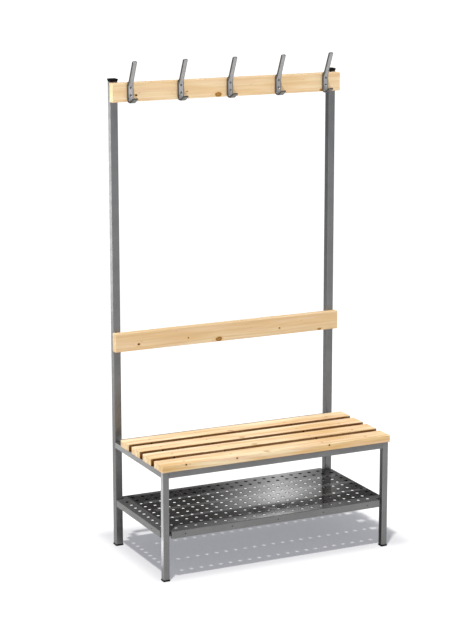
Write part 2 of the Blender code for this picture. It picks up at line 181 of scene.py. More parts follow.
def wood_finish(name, half_width, half_thick, dark_knots, brown_knots, fleck_knots, gap_shade_and_bold_flecks, mean, figure):
    """Planed pale pine under a satin varnish: soft patches, fine low grain and a few knots; on request, painted shade
    darkens the gaps between close boards.
    """
    f = Finish(name)

    def shade(*colour):
        """A colour of the wood's figure, drawn towards the board's mean tone or away from it."""
        return tuple(m + (c - m) * figure for m, c in zip(mean, colour)) + (1.0,)

    place = f.place()
    seed = f.vector("MULTIPLY", f.node("ObjectInfo").outputs["Location"], (3.1, 5.3, 4.7))
    axes = f.node("SeparateXYZ", {"Vector": place})
    flat = {"face": ("Z", 1), "back": ("Z", -1), "edge": ("Y", -1), "far": ("Y", 1)}
    gates = {}

    def gate(side):
        """0 on its own side of the board and large elsewhere."""
        if side not in gates:
            axis, sign = flat[side]
            reach = (half_thick if axis == "Z" else half_width) * MM
            out = f.math("MULTIPLY", axes.outputs[axis], float(sign))
            gates[side] = f.span(out, reach - 0.007, reach - 0.004, 7.0, 0.0)
        return gates[side]

    def nearest(knots):
        """Distance from the nearest knot's middle, in its own half lengths."""
        found = None
        for side, x, across, long, high in knots:
            on_face = flat[side][0] == "Z"
            centre = (x, across, 0.0) if on_face else (x, 0.0, across)
            scale = (1 / long, 1 / high, 0.0) if on_face else (1 / long, 0.0, 1 / high)
            off = f.vector("SUBTRACT", place, tuple(c * MM for c in centre))
            far = f.vector("LENGTH", f.vector("MULTIPLY", off, tuple(s / MM for s in scale)))
            far = f.math("ADD", far, gate(side))
            found = far if found is None else f.math("MINIMUM", found, far)
        return found

    ragged = f.noise(f.vector("ADD", f.vector("MULTIPLY", place, (170.0, 300.0, 300.0)), seed), 1.0, 2.0)
    ragged = f.span(ragged, 0.25, 0.75, -0.20, 0.20, "LINEAR")
    dark = f.math("ADD", nearest(dark_knots), ragged)
    brown = f.math("ADD", nearest(brown_knots), ragged)
    fleck = f.math("ADD", nearest(fleck_knots), ragged)

    # Growth rings round a pith below the board; they swell past the knots.
    sway_at = f.vector("ADD", f.vector("MULTIPLY", place, (1.5, 7.0, 7.0)), seed)
    sway = f.span(f.noise(sway_at, 1.0, 1.6), 0.0, 1.0, -0.013, 0.013, "LINEAR")
    flutter_at = f.vector("ADD", f.vector("MULTIPLY", place, (9.0, 60.0, 60.0)), seed)
    flutter = f.span(f.noise(flutter_at, 1.0, 2.0), 0.0, 1.0, -0.0014, 0.0014, "LINEAR")
    across = f.math("ADD", f.math("SUBTRACT", axes.outputs["Y"], 0.014), sway)
    deep = f.math("ADD", axes.outputs["Z"], 0.071)
    out = f.math("SQRT", f.math("ADD", f.math("MULTIPLY", across, across), f.math("MULTIPLY", deep, deep)))
    out = f.math("ADD", out, flutter)
    swell = f.math("ADD", f.span(dark, 5.5, 0.7, 0.0, 0.0030), f.span(brown, 2.8, 0.7, 0.0, 0.0075))
    phase = f.math("FRACT", f.math("MULTIPLY", f.math("ADD", out, swell), 1.0 / 0.0052))
    late = f.ramp(
        phase,
        ((0.0, (0.0, 0.0, 0.0)), (0.5, (0.12, 0.12, 0.12)), (0.86, (0.85, 0.85, 0.85)), (0.94, (1.0, 1.0, 1.0)), (1.0, (0.05, 0.05, 0.05))),
    )

    fibre_at = f.vector("ADD", f.vector("MULTIPLY", place, (14.0, 900.0, 900.0)), seed)
    fibre = f.noise(fibre_at, 1.0, 3.0, 0.6)
    streak_at = f.vector("ADD", f.vector("MULTIPLY", place, (2.6, 85.0, 85.0)), seed)
    streak = f.noise(streak_at, 1.0, 3.0, 0.55)
    patch_at = f.vector("ADD", f.vector("MULTIPLY", place, (2.4, 26.0, 26.0)), seed)
    patch = f.noise(patch_at, 1.0, 2.0)
    blush_at = f.vector("ADD", f.vector("MULTIPLY", place, (4.5, 50.0, 50.0)), f.vector("ADD", seed, (17.3, 4.1, 9.7)))
    blush = f.noise(blush_at, 1.0, 2.0)

    mottle_at = f.vector("ADD", f.vector("MULTIPLY", place, (10.0, 150.0, 150.0)), f.vector("ADD", seed, (3.9, 11.2, 6.1)))
    mottle = f.noise(mottle_at, 1.0, 2.0)
    tone = f.mix(f.span(patch, 0.36, 0.62), shade(0.880, 0.720, 0.475), shade(0.750, 0.500, 0.240))
    tone = f.mix(f.span(blush, 0.47, 0.66, 0.0, 0.80), tone, shade(0.815, 0.570, 0.375))
    tone = f.mix(f.span(mottle, 0.50, 0.66, 0.0, 0.28), tone, shade(0.910, 0.775, 0.540))
    tone = f.mix(f.math("MULTIPLY", late, f.span(streak, 0.3, 0.7, 0.10, 0.42)), tone, (0.640, 0.390, 0.175, 1.0))
    tone = f.mix(f.span(streak, 0.48, 0.68, 0.0, 0.75), tone, shade(0.660, 0.425, 0.195))
    tone = f.mix(f.span(fibre, 0.35, 0.75, 0.0, 0.10), tone, (0.640, 0.400, 0.190, 1.0))
    tone = f.mix(f.span(f.edge(), 0.15, 0.9, 0.0, 0.22), tone, (0.840, 0.660, 0.430, 1.0))
    # Flecks, halos, then the stubs themselves with their rings and dark rims.
    tone = f.mix(f.span(fleck, 1.25, 0.25, 0.0, 0.85 if gap_shade_and_bold_flecks else 0.42), tone, (0.470, 0.255, 0.085, 1.0))
    tone = f.mix(f.span(brown, 2.0, 1.0, 0.0, 0.50), tone, (0.740, 0.440, 0.180, 1.0))
    tone = f.mix(f.span(dark, 2.8, 1.1, 0.0, 0.45), tone, (0.690, 0.390, 0.125, 1.0))
    stub = f.ramp(
        f.math("MULTIPLY", brown, 0.8),
        ((0.0, (0.270, 0.128, 0.018)), (0.22, (0.440, 0.228, 0.044)), (0.42, (0.400, 0.205, 0.040)), (0.60, (0.220, 0.098, 0.015)), (0.80, (0.340, 0.175, 0.045))),
    )
    tone = f.mix(f.span(brown, 1.12, 0.90), tone, stub)
    core = f.ramp(f.math("MULTIPLY", dark, 0.8), ((0.0, (0.022, 0.008, 0.001)), (0.58, (0.036, 0.013, 0.002)), (0.86, (0.150, 0.058, 0.008))))
    tone = f.mix(f.span(dark, 1.15, 0.80), tone, core)
    if gap_shade_and_bold_flecks:
        # Painted shade: where two boards stand close together, an ambient occlusion mask darkens the wood to deep
        # brown.
        open_sky = f.node("AmbientOcclusion", {"Distance": 0.06}, samples=8).outputs["AO"]
        close = f.span(open_sky, 0.95, 0.70, 0.0, 1.0, "LINEAR")
        tone = f.mix(close, tone, f.mix(1.0, tone, (0.205, 0.080, 0.003, 1.0), "MULTIPLY"))
    f.set(Base_Color=tone)

    gloss = f.math("ADD", f.span(fibre, 0.3, 0.7, 0.42, 0.54), f.math("MULTIPLY", late, -0.04))
    f.set(Roughness=gloss, Specular_IOR_Level=0.20)
    rise = f.math("ADD", f.math("MULTIPLY", late, 0.4), f.math("MULTIPLY", fibre, 0.5))
    rise = f.math("SUBTRACT", rise, f.span(dark, 1.2, 0.8, 0.0, 0.8))
    f.bump(rise, 0.25, 0.0003)
    return f.mat


def powder_coat(name, colour, lift, roughness, metallic, peel_depth, thin=None):
    """Silver-grey powder coat with metal flake: fine orange peel, faint clouding, paler on the bends.

    Where the inside mark is set, inside a folded sheet and round its holes, shade is painted: the tone goes to the
    given dark colour, and the coat is also matt there.
    """
    f = Finish(name)
    place = f.place()
    cloud = f.noise(place, 7.0, 3.0, 0.6)
    peel = f.noise(place, 950.0, 2.0, 0.55)
    grain = f.noise(place, 3200.0, 2.0, 0.5)
    tone = f.mix(f.span(cloud, 0.3, 0.7), tuple(c * 0.94 for c in colour) + (1.0,), tuple(c * 1.06 for c in colour) + (1.0,))
    tone = f.mix(f.span(grain, 0.55, 0.8, 0.0, 0.45), tone, tuple(min(1.0, c * 1.5) for c in colour) + (1.0,))
    tone = f.mix(f.span(f.edge(), 0.25, 0.95, 0.0, 0.5), tone, tuple(lift) + (1.0,))
    # Painted shade: the inside mark blends the tone to the dark colour.
    if thin:
        inside = f.node("Attribute", attribute_name="inside").outputs["Fac"]
        tone = f.mix(inside, tone, tuple(thin) + (1.0,))
    smear = f.noise(f.vector("MULTIPLY", place, (4.0, 4.0, 13.0)), 3.0, 3.0)
    rough = f.math("ADD", f.span(smear, 0.3, 0.7, roughness - 0.03, roughness + 0.04), f.math("MULTIPLY", f.edge(), -0.04))
    if thin:
        rough = f.math("ADD", rough, f.math("MULTIPLY", inside, 0.75), clamp=True)
    f.set(Base_Color=tone, Roughness=rough, Metallic=metallic, Specular_IOR_Level=0.5)
    f.bump(f.math("ADD", peel, f.math("MULTIPLY", grain, 0.35)), peel_depth, 0.0002)
    return f.mat


def hook_finish():
    """Satin cast metal: bright broad faces, with painted shade darkening the rolled edges and flanks."""
    f = Finish("satin_casting")
    place = f.place()
    cloud = f.noise(place, 60.0, 3.0, 0.6)
    grain = f.noise(place, 2600.0, 3.0, 0.6)
    tone = f.mix(f.span(cloud, 0.3, 0.7), (0.375, 0.370, 0.375, 1.0), (0.455, 0.450, 0.455, 1.0))
    # Painted shade: the edge mark darkens rims, flanks and the foot's underside.
    tone = f.mix(f.span(f.edge(), 0.10, 0.75, 0.0, 0.9), tone, (0.115, 0.108, 0.104, 1.0))
    rough = f.math("ADD", f.span(grain, 0.3, 0.7, 0.27, 0.37), f.math("MULTIPLY", f.edge(), 0.08))
    f.set(Base_Color=tone, Roughness=rough, Metallic=0.85)
    f.bump(f.math("ADD", grain, f.math("MULTIPLY", cloud, 1.5)), 0.14, 0.0002)
    return f.mat


def plastic_finish():
    """Black moulded plastic with a fine eroded grain."""
    f = Finish("black_moulding")
    place = f.place()
    grain = f.noise(place, 1500.0, 3.0, 0.6)
    cloud = f.noise(place, 45.0, 2.0)
    tone = f.mix(f.span(cloud, 0.3, 0.7), (0.0045, 0.0045, 0.005, 1.0), (0.007, 0.007, 0.007, 1.0))
    tone = f.mix(f.span(f.edge(), 0.3, 0.95, 0.0, 0.5), tone, (0.016, 0.016, 0.017, 1.0))
    f.set(Base_Color=tone, Roughness=f.span(grain, 0.3, 0.7, 0.52, 0.66), Specular_IOR_Level=0.08)
    f.bump(grain, 0.22, 0.0002)
    return f.mat


def zinc_finish(name, shade):
    """Zinc plate: bluish grey with a faint yellow bloom and rolling marks; shade below 1 is blackened."""
    f = Finish(name)
    place = f.place()
    bloom = f.noise(place, 140.0, 3.0, 0.6)
    fine = f.noise(place, 2400.0, 2.0)
    tone = f.mix(f.span(bloom, 0.3, 0.72), (0.50 * shade, 0.51 * shade, 0.53 * shade, 1.0), (0.56 * shade, 0.54 * shade, 0.48 * shade, 1.0))
    tone = f.mix(f.span(f.edge(), 0.2, 0.9, 0.0, 0.5), tone, (0.72 * shade, 0.72 * shade, 0.72 * shade, 1.0))
    f.set(Base_Color=tone, Roughness=f.span(fine, 0.3, 0.7, 0.28, 0.42), Metallic=1.0)
    f.bump(fine, 0.12, 0.0001)
    return f.mat


def floor_finish():
    """Pale matt floor that glows to the eye; the glow is lower and bluer close round the bench, a painted shadow."""
    f = Finish("pale_floor")
    place = f.place()
    cloud = f.noise(place, 1.2, 2.0)
    seen = f.node("LightPath").outputs["Is Camera Ray"]
    tone = f.mix(f.span(cloud, 0.3, 0.7), (0.86, 0.86, 0.86, 1.0), (0.88, 0.88, 0.88, 1.0))
    # Below and behind the bench little light bounces up, as off a dark card; the eye still sees the pale floor.
    card = f.vector("ABSOLUTE", f.vector("SUBTRACT", place, (0.10, 0.80, 0.0)))
    card = f.vector("MAXIMUM", f.vector("SUBTRACT", card, (0.52, 1.02, 1.0)))
    skew = f.vector("DOT_PRODUCT", place, (0.90, 0.437, 0.0))
    bare = f.math("MAXIMUM", f.span(f.vector("LENGTH", card), 0.0, 0.10), f.span(skew, 0.36, 0.48))
    tone = f.mix(bare, (0.13, 0.13, 0.13, 1.0), tone)
    tone = f.mix(seen, tone, (0.485, 0.480, 0.480, 1.0))
    # Painted shadow: the glow seen by the eye is lower and bluer close round the bench, full further away.
    off = f.vector("ABSOLUTE", f.vector("SUBTRACT", place, (0.05, 0.075, 0.0)))
    off = f.vector("MAXIMUM", f.vector("SUBTRACT", off, (0.51, 0.285, 1.0)))
    away = f.span(f.vector("LENGTH", off), 0.0, 0.12)
    lift = f.span(away, 0.0, 1.0, *FLOOR_LIFT, "LINEAR")
    glow = f.mix(away, (0.93, 0.945, 1.03, 1.0), (1.0, 1.0, 1.0, 1.0))
    f.set(Base_Color=tone, Roughness=0.9, Specular_IOR_Level=0.0)
    f.set(Emission_Color=glow, Emission_Strength=f.math("MULTIPLY", seen, lift))
    return f.mat


RAIL_WOOD = wood_finish("planed_pine_rail", 37.0, 15.0, RAIL_DARK, RAIL_BROWN, RAIL_FLECKS, False, (0.835, 0.625, 0.380), 0.62)
SLAT_WOOD = wood_finish("planed_pine_slat", 40.0, 14.0, SLAT_DARK, SLAT_BROWN, SLAT_FLECKS, True, (0.797, 0.620, 0.408), 1.25)
STEEL = powder_coat("grey_powder_coat", (0.195, 0.195, 0.198), (0.29, 0.29, 0.294), 0.34, 0.75, 0.10)
SHEET_STEEL = powder_coat("grey_powder_coat_sheet", (0.188, 0.188, 0.191), (0.28, 0.28, 0.284), 0.115, 0.62, 0.004, (0.012, 0.012, 0.013))
METAL = hook_finish()
PLASTIC = plastic_finish()
ZINC = zinc_finish("zinc_plate", 1.0)
DARK_ZINC = zinc_finish("dark_zinc_plate", 0.42)

# ---------------------------------------------------------------- shape helpers, in millimetres


def soft_rect(w, h, r, seg=6, lead=2.0):
    """A rounded rectangle, anticlockwise, as (p, q, edge): lead points lie on the flats beside each corner."""
    points = []
    for turn, (sx, sy) in enumerate(((1, 1), (-1, 1), (-1, -1), (1, -1))):
        cx, cy = sx * (w / 2 - r), sy * (h / 2 - r)
        a0 = math.pi / 2 * turn
        a1 = a0 + math.pi / 2
        points.append((cx + r * math.cos(a0) + lead * math.sin(a0), cy + r * math.sin(a0) - lead * math.cos(a0), 0.0))
        for k in range(seg + 1):
            a = a0 + math.pi / 2 * k / seg
            points.append((cx + r * math.cos(a), cy + r * math.sin(a), 0.3 + 0.7 * math.sin(math.pi * k / seg)))
        points.append((cx + r * math.cos(a1) - lead * math.sin(a1), cy + r * math.sin(a1) + lead * math.cos(a1), 0.0))
    return points


def turn_points(radius, sides, edge=0.0):
    return [
        (radius * math.cos(2 * math.pi * k / sides), radius * math.sin(2 * math.pi * k / sides), edge)
        for k in range(sides)
    ]


def along(axis, p, q, a):
    return {"X": (a, p, q), "Y": (p, a, q), "Z": (p, q, a)}[axis]


def edge_layer(bm):
    return bm.verts.layers.float.get("edge") or bm.verts.layers.float.new("edge")


def skin(bm, rings, closed=False):
    """Skins rings of (x, y, z, edge); open ends are capped."""
    layer = edge_layer(bm)
    rows = []
    for ring in rings:
        row = []
        for x, y, z, edge in ring:
            vert = bm.verts.new((x, y, z))
            vert[layer] = edge
            row.append(vert)
        rows.append(row)
    pairs = list(zip(rows, rows[1:]))
    if closed:
        pairs.append((rows[-1], rows[0]))
    count = len(rows[0])
    for one, two in pairs:
        for k in range(count):
            n = (k + 1) % count
            bm.faces.new((one[k], one[n], two[n], two[k]))
    if not closed:
        bm.faces.new(rows[0])
        bm.faces.new(rows[-1])
    return bm


def turned(bm, axis, steps, sides=32, centre=(0.0, 0.0)):
    """A turned solid from (place along the axis, radius, edge) steps."""
    return skin(
        bm,
        [
            [(*along(axis, centre[0] + p, centre[1] + q, a), edge) for p, q, _ in turn_points(radius, sides)]
            for a, radius, edge in steps
        ],
    )


def piece(name, bm, stuff, at=(0.0, 0.0, 0.0), turn=None, angle=38.0):
    bmesh.ops.recalc_face_normals(bm, faces=bm.faces)
    bmesh.ops.scale(bm, vec=(MM, MM, MM), verts=bm.verts)
    mesh = bpy.data.meshes.new(name)
    bm.to_mesh(mesh)
    bm.free()
    mesh.materials.append(stuff)
    mesh.shade_smooth()
    mesh.set_sharp_from_angle(angle=math.radians(angle))
    return set_down(name, mesh, at, turn)


def set_down(name, mesh, at=(0.0, 0.0, 0.0), turn=None):
    obj = bpy.data.objects.new(name, mesh)
    bpy.context.scene.collection.objects.link(obj)
    obj.location = at
    if turn:
        obj.rotation_euler = turn
    return obj


def stands_for(obj, slot, *nodes):
    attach(obj, "root")
    if nodes:
        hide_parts(*nodes)
    return obj


def carve(obj, bm, angle=38.0):
    """Cuts a bmesh, in the object's own millimetres, out of the object's mesh."""
    tool = piece(obj.name + ".tool", bm, obj.data.materials[0])
    tool.matrix_world = Matrix.LocRotScale(obj.location, obj.rotation_euler, None)
    step = obj.modifiers.new("cut", "BOOLEAN")
    step.operation = "DIFFERENCE"
    step.solver = "EXACT"
    step.object = tool
    bpy.context.view_layer.update()
    done = bpy.data.meshes.new_from_object(obj.evaluated_get(bpy.context.evaluated_depsgraph_get()))
    obj.modifiers.remove(step)
    spare, old = tool.data, obj.data
    bpy.data.objects.remove(tool, do_unlink=True)
    bpy.data.meshes.remove(spare)
    done.name = old.name
    obj.data = done
    bpy.data.meshes.remove(old)
    done.shade_smooth()
    done.set_sharp_from_angle(angle=math.radians(angle))
    return obj


def box_mm(node):
    low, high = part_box(node)
    return low / MM, high / MM


def middle(node):
    low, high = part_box(node)
    return (low + high) / 2


# ---------------------------------------------------------------- boards

BOARD_ROUND = 1.8
SHANK_HOLE = 2.6


def bar(length, w, h, r, end_r, seg=5, lead=2.5):
    """A bar along X with rounded long edges and eased ends."""
    rings = []
    half = length / 2
    steps = [(-half, end_r + lead, 0.0)]
    for k in range(seg + 1):
        t = math.pi / 2 * k / seg
        steps.append((-half + end_r * (1 - math.cos(t)), end_r * (1 - math.sin(t)), 0.3 + 0.7 * math.sin(2 * t)))
    steps.append((-half + end_r + lead, 0.0, 0.0))
    for x, inset, edge in steps + [(-x, inset, edge) for x, inset, edge in reversed(steps)]:
        profile = soft_rect(w - 2 * inset, h - 2 * inset, max(r - inset, 0.4), seg, lead)
        rings.append([(x, p, q, max(edge, e if inset < r else 0.0)) for p, q, e in profile])
    return skin(bmesh.new(), rings)


def make_board(node, upright, holes):
    low, high = box_mm(node)
    size = high - low
    width, thick = (size.z, size.y) if upright else (size.y, size.z)
    turn = (math.pi / 2, 0.0, 0.0) if upright else None
    obj = piece(node + "_board", bar(size.x, width, thick, BOARD_ROUND, 1.6), RAIL_WOOD if upright else SLAT_WOOD, middle(node), turn)
    # Pilot holes, in the board's own axes.
    centre = (low + high) / 2
    bm = bmesh.new()
    for x, across, face in holes:
        p = across - (centre.z if upright else centre.y)
        start, end = (face * (thick / 2 + 3), face * (thick / 2 - 22))
        turned(bm, "Z", [(start, SHANK_HOLE, 0), (end, SHANK_HOLE, 0)], 16, (x, p))
    carve(obj, bm)
    return stands_for(obj, "wood", node)


def make_boards():
    def at(node):
        return middle(node) / MM

    for row in ("back", "hook"):
        holes = []
        for side in ("left", "right"):
            for label in ("lower", "upper"):
                c = at(f"{row}_rail_screw_{side}_{label}")
                holes.append((c.x, c.z, -1))
        if row == "hook":
            for k in range(1, 6):
                for label in ("upper", "lower"):
                    c = at(f"hook_screw_{k}_{label}")
                    holes.append((c.x, c.z, 1))
        make_board(f"{row}_rail", True, holes)
    for k in range(1, 5):
        holes = []
        for side in ("left", "right"):
            c = at(f"slat_screw_{side}_{k}")
            holes.append((c.x, c.y, -1))
        make_board(f"seat_slat_{k}", False, holes)


# ---------------------------------------------------------------- tubes

WALL = 1.5


def make_tube(node, axis, corner, holes):
    """Square tube with drawn corners; holes are (axis, centre p, centre q, from, to, radius) in world millimetres."""
    low, high = box_mm(node)
    size = high - low
    index = "XYZ".index(axis)
    wide = size[(index + 1) % 3]
    centre = (low + high) / 2
    half = size[index] / 2
    outer = soft_rect(wide, wide, corner, 6, 2.5)
    inner = soft_rect(wide - 2 * WALL, wide - 2 * WALL, corner - 1.2, 6, 2.5)
    rings = []
    for profile, a, inset in (
        (outer, -half, 0.0),
        (outer, -half + 3.0, 0.0),
        (outer, half - 3.0, 0.0),
        (outer, half, 0.0),
        (inner, half, 0.0),
        (inner, -half, 0.0),
    ):
        rings.append([(*along(axis, p, q, a), e) for p, q, e in profile])
    obj = piece(node + "_tube", skin(bmesh.new(), rings, closed=True), STEEL, centre * MM)
    if holes:
        bm = bmesh.new()
        for way, start, end, radius, centre_at in holes:
            local = Vector(centre_at) - centre
            k = "XYZ".index(way)
            p, q = [local[i] for i in range(3) if i != k]
            turned(bm, way, [(start - centre[k], radius, 0), (end - centre[k], radius, 0)], 20, (p, q))
        carve(obj, bm)
    return stands_for(obj, "frame", node)


def make_tubes():
    def at(node):
        return middle(node) / MM

    for side in ("left", "right"):
        low, high = box_mm(f"rear_post_{side}")
        holes = []
        for row in ("back", "hook"):
            for label in ("lower", "upper"):
                holes.append(("Y", low.y - 5, high.y + 5, SHANK_HOLE, at(f"{row}_rail_screw_{side}_{label}")))
        holes.append(("Y", low.y - 5, (low.y + high.y) / 2, 2.9, at(f"shelf_bolt_rear_{side}")))
        make_tube(f"rear_post_{side}", "Z", 2.5, holes)
        low, high = box_mm(f"front_leg_{side}")
        make_tube(
            f"front_leg_{side}", "Z", 2.2, [("Y", (low.y + high.y) / 2, high.y + 5, 2.9, at(f"shelf_bolt_front_{side}"))]
        )
        low, high = box_mm(f"seat_rail_{side}")
        make_tube(
            f"seat_rail_{side}",
            "Y",
            2.2,
            [("Z", low.z - 5, high.z + 5, SHANK_HOLE, at(f"slat_screw_{side}_{k}")) for k in range(1, 5)],
        )
    make_tube("seat_rail_front", "X", 2.2, [])
    make_tube("seat_rail_rear", "X", 2.2, [])


def make_welds():
    """Fillet welds on the inner and lower sides of the seat frame's joints."""
    bm = bmesh.new()

    def bead(start, end, one, two, leg=3.4):
        """A rippled fillet along a line, between the faces that look along one and two."""
        start, end, one, two = (Vector(v) for v in (start, end, one, two))
        run = end - start
        count = max(6, int(run.length / 1.1))
        rings = []
        for k in range(count + 1):
            t = k / count
            ripple = 1.0 + 0.07 * math.sin(k * 1.9) + 0.05 * math.sin(k * 4.7 + 1.0)
            close = min(1.0, 4.5 * min(t, 1 - t) + 0.35)
            size = leg * ripple * close
            base = start + run * t - (one + two) * 0.35
            ring = []
            for j in range(7):
                a = math.pi / 2 * j / 6
                bulge = 0.80 + 0.10 * math.sin(2 * a)
                ring.append((*(base + one * size * math.cos(a) * bulge + two * size * math.sin(a) * bulge), 0.25))
            ring.append((*base, 0.0))
            rings.append(ring)
        skin(bm, rings)

    front_low, front_high = box_mm("seat_rail_front")
    rear_low, rear_high = box_mm("seat_rail_rear")
    for side, s in (("left", -1), ("right", 1)):
        side_low, side_high = box_mm(f"seat_rail_{side}")
        leg_low, leg_high = box_mm(f"front_leg_{side}")
        post_low, post_high = box_mm(f"rear_post_{side}")
        leg_in = leg_high.x if s < 0 else leg_low.x
        post_in = post_high.x if s < 0 else post_low.x
        rail_in = side_high.x if s < 0 else side_low.x
        z = front_low.z
        away = (-s, 0, 0)
        # front rail against the leg: under it and behind it
        bead((leg_in, front_low.y + 3, z), (leg_in, front_high.y - 2, z), away, (0, 0, -1))
        bead((leg_in, front_high.y, z + 2), (leg_in, front_high.y, front_high.z - 3), away, (0, 1, 0))
        # rear rail against the post: under it and in front of it
        bead((post_in, rear_low.y + 2, z), (post_in, rear_high.y - 2, z), away, (0, 0, -1))
        bead((post_in, rear_low.y, z + 2), (post_in, rear_low.y, rear_high.z - 3), away, (0, -1, 0))
        # side rail against the leg and the post: under it
        x0, x1 = side_low.x + 3, side_high.x - 3
        bead((x0, leg_high.y, z), (x1, leg_high.y, z), (0, 1, 0), (0, 0, -1))
        bead((x0, post_low.y, z), (x1, post_low.y, z), (0, -1, 0), (0, 0, -1))
        bead((rail_in, post_low.y, z + 2), (rail_in, post_low.y, side_high.z - 3), (0, -1, 0), away)
    stands_for(piece("seat_frame_welds", bm, STEEL, angle=60.0), "frame")


# ---------------------------------------------------------------- shelf

SHEET = 1.5
BEND = 2.5
NOTCH = 35.0
SKIRT = 29.0
HOLE_COLUMNS, HOLE_ROWS, HOLE_PITCH = 23, 11, 42.5
HOLE_RADIUS, HOLE_SIDES = 6.5, 24
RETURN = 14.0  # the skirt's foot, folded inwards


def shelf_plan(half_x, half_y, inset, lead=3.0, seg=4):
    """The shelf's notched outline with rounded corners, each edge moved inwards, as (x, y, edge)."""
    a, b = half_x - NOTCH, half_y - NOTCH
    corners = [
        (-a, -half_y), (a, -half_y), (a, -b), (half_x, -b), (half_x, b), (a, b),
        (a, half_y), (-a, half_y), (-a, b), (-half_x, b), (-half_x, -b), (-a, -b),
    ]
    points = []
    for k, corner in enumerate(corners):
        here = Vector(corner)
        come = (here - Vector(corners[k - 1])).normalized()
        go = (Vector(corners[(k + 1) % len(corners)]) - here).normalized()
        n0, n1 = Vector((-come.y, come.x)), Vector((-go.y, go.x))
        outward = come.x * go.y - come.y * go.x > 0
        moved = here + (n0 + n1) * inset
        if outward:
            r = max(2.8 - inset, 0.15)
            centre = moved + (n0 + n1) * r
            f = -r
        else:
            r = 1.2 + inset
            centre = moved - (n0 + n1) * r
            f = r
        arc = [centre + n0 * f * math.cos(math.pi / 2 * j / seg) + n1 * f * math.sin(math.pi / 2 * j / seg) for j in range(seg + 1)]
        points.append((*(arc[0] - come * lead), 0.0))
        for j, p in enumerate(arc):
            points.append((*p, (0.3 + 0.7 * math.sin(math.pi * j / seg)) if outward else 0.0))
        points.append((*(arc[-1] + go * lead), 0.0))
    return points


